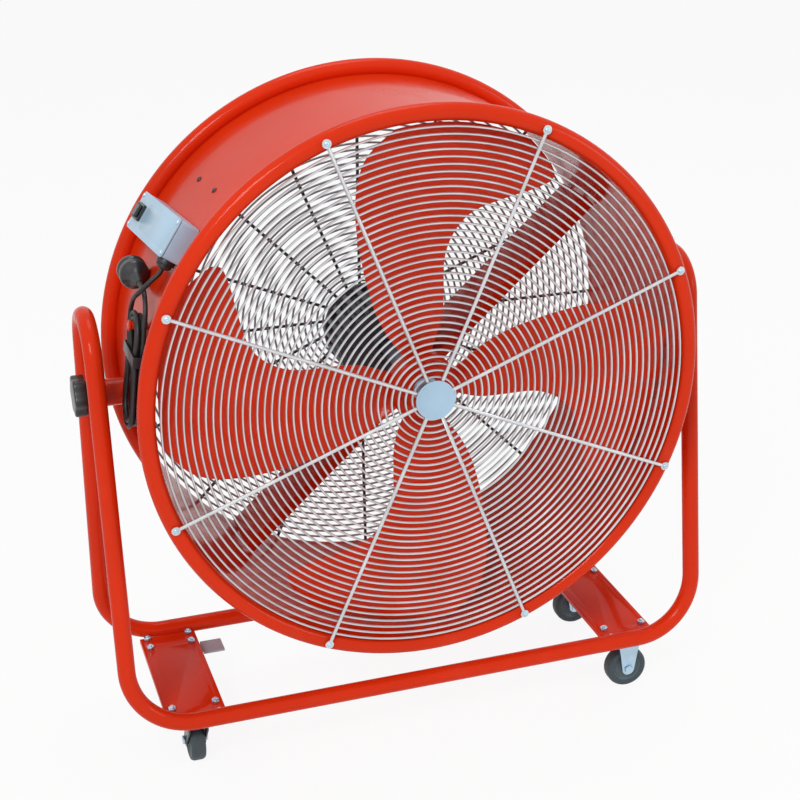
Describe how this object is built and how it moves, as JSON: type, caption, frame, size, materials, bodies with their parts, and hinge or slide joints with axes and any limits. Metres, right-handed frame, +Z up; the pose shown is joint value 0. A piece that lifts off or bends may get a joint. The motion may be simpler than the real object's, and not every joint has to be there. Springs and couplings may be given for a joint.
{
  "type": "drum fan",
  "caption": "Drum fan that tilts in a castored tube frame, with wire grilles, an impeller on its motor, a control box and a tied supply cord.",
  "frame": {"origin": "on the floor under the middle of the fan", "axes": "+Z up, -Y is the way the air leaves (the front), +X to the right seen from the front"},
  "size_m": [0.9256, 0.3592, 0.962],
  "materials": {
    "drum_paint": "gloss",
    "grille_wire": "satin zinc",
    "dark_wire": "satin",
    "disc_paint": "satin",
    "box_paint": "satin",
    "motor_paint": "satin",
    "bright_steel": "satin zinc",
    "black_plastic": "satin",
    "fork_paint": "satin",
    "cord_rubber": "matt",
    "tyre_rubber": "matt",
    "pedal_paint": "satin"
  },
  "bodies": {
    "base": {"frame_front": "drum_paint", "frame_rear": "drum_paint", "pivot_bracket_left": "drum_paint", "pivot_bracket_right": "drum_paint", "castor_plate_left": "drum_paint", "castor_plate_right": "drum_paint", "castor_front_left_plate": "bright_steel", "castor_rear_left_plate": "bright_steel", "castor_front_right_bracket": "bright_steel", "castor_rear_right_bracket": "bright_steel", "castor_front_right_axle": "bright_steel", "castor_rear_right_axle": "bright_steel"},
    "drum": {"drum_shell": "drum_paint", "front_grille": "grille_wire", "rear_grille": "dark_wire", "front_disc": "disc_paint", "rear_disc": "dark_wire", "motor_body": "motor_paint", "motor_front_shield": "motor_paint", "motor_cowl": "motor_paint", "motor_shelf": "drum_paint", "motor_foot": "motor_paint", "control_box": "box_paint", "control_lid": "box_paint", "switch_bezel": "black_plastic", "cord_gland": "black_plastic", "cord_hank": "cord_rubber", "cord_lead": "cord_rubber", "cord_tail": "cord_rubber", "plug_body": "black_plastic", "plug_pin_1": "bright_steel", "plug_pin_2": "bright_steel", "hank_tie": "black_plastic", "cord_hook": "drum_paint", "pivot_boss_left": "drum_paint", "pivot_boss_right": "drum_paint", "pivot_washer_left": "black_plastic", "pivot_washer_right": "black_plastic"},
    "impeller": {"impeller_hub": "drum_paint", "blade_1": "drum_paint", "blade_2": "drum_paint", "blade_3": "drum_paint", "blade_4": "drum_paint", "motor_shaft": "bright_steel", "shaft_nut": "bright_steel"},
    "rocker": {"switch_rocker": "black_plastic"},
    "knob_left": {"tilt_knob_left": "black_plastic", "tilt_stud_left": "bright_steel"},
    "knob_right": {"tilt_knob_right": "black_plastic", "tilt_stud_right": "bright_steel"},
    "swivel_front_left": {"castor_front_left_fork": "fork_paint", "castor_front_left_axle": "bright_steel"},
    "swivel_rear_left": {"castor_rear_left_fork": "fork_paint", "castor_rear_left_axle": "bright_steel", "castor_rear_left_pedal_pin": "bright_steel"},
    "wheel_front_left": {"castor_front_left_wheel": "tyre_rubber"},
    "wheel_rear_left": {"castor_rear_left_wheel": "tyre_rubber"},
    "wheel_front_right": {"castor_front_right_wheel": "tyre_rubber"},
    "wheel_rear_right": {"castor_rear_right_wheel": "tyre_rubber"},
    "brake_pedal": {"castor_rear_left_pedal": "pedal_paint"}
  },
  "joints": [
    {"name": "drum_tilt", "type": "hinge", "parent": "base", "child": "drum", "pos_m": [0, 0, 0.562], "axis": [1, 0, 0], "range_deg": [-90, 90]},
    {"name": "impeller_spin", "type": "hinge", "parent": "drum", "child": "impeller", "pos_m": [0, 0, 0.562], "axis": [0, 1, 0], "continuous": true},
    {"name": "switch_rock", "type": "hinge", "parent": "drum", "child": "rocker", "pos_m": [-0.34331, 0.0772, 0.7915], "axis": [-0.5671, -0.0872, -0.819], "range_deg": [-16, 0]},
    {"name": "knob_turn_left", "type": "hinge", "parent": "drum", "child": "knob_left", "pos_m": [-0.452, 0, 0.562], "axis": [-1, 0, 0], "range_deg": [0, 360]},
    {"name": "knob_turn_right", "type": "hinge", "parent": "drum", "child": "knob_right", "pos_m": [0.452, 0, 0.562], "axis": [1, 0, 0], "range_deg": [0, 360]},
    {"name": "swivel_turn_front_left", "type": "hinge", "parent": "base", "child": "swivel_front_left", "pos_m": [-0.341, -0.10233, 0.08], "axis": [0, 0, 1], "continuous": true},
    {"name": "swivel_turn_rear_left", "type": "hinge", "parent": "base", "child": "swivel_rear_left", "pos_m": [-0.341, 0.10233, 0.08], "axis": [0, 0, 1], "continuous": true},
    {"name": "wheel_roll_front_left", "type": "hinge", "parent": "swivel_front_left", "child": "wheel_front_left", "pos_m": [-0.341, -0.07833, 0.0325], "axis": [1, 0, 0], "continuous": true},
    {"name": "wheel_roll_rear_left", "type": "hinge", "parent": "swivel_rear_left", "child": "wheel_rear_left", "pos_m": [-0.317, 0.10233, 0.0325], "axis": [0, 1, 0], "continuous": true},
    {"name": "wheel_roll_front_right", "type": "hinge", "parent": "base", "child": "wheel_front_right", "pos_m": [0.341, -0.10233, 0.0325], "axis": [0, 1, 0], "continuous": true},
    {"name": "wheel_roll_rear_right", "type": "hinge", "parent": "base", "child": "wheel_rear_right", "pos_m": [0.341, 0.10233, 0.0325], "axis": [0, 1, 0], "continuous": true},
    {"name": "brake_press", "type": "hinge", "parent": "swivel_rear_left", "child": "brake_pedal", "pos_m": [-0.308, 0.10233, 0.071], "axis": [0, 1, 0], "range_deg": [0, 18]}
  ]
}
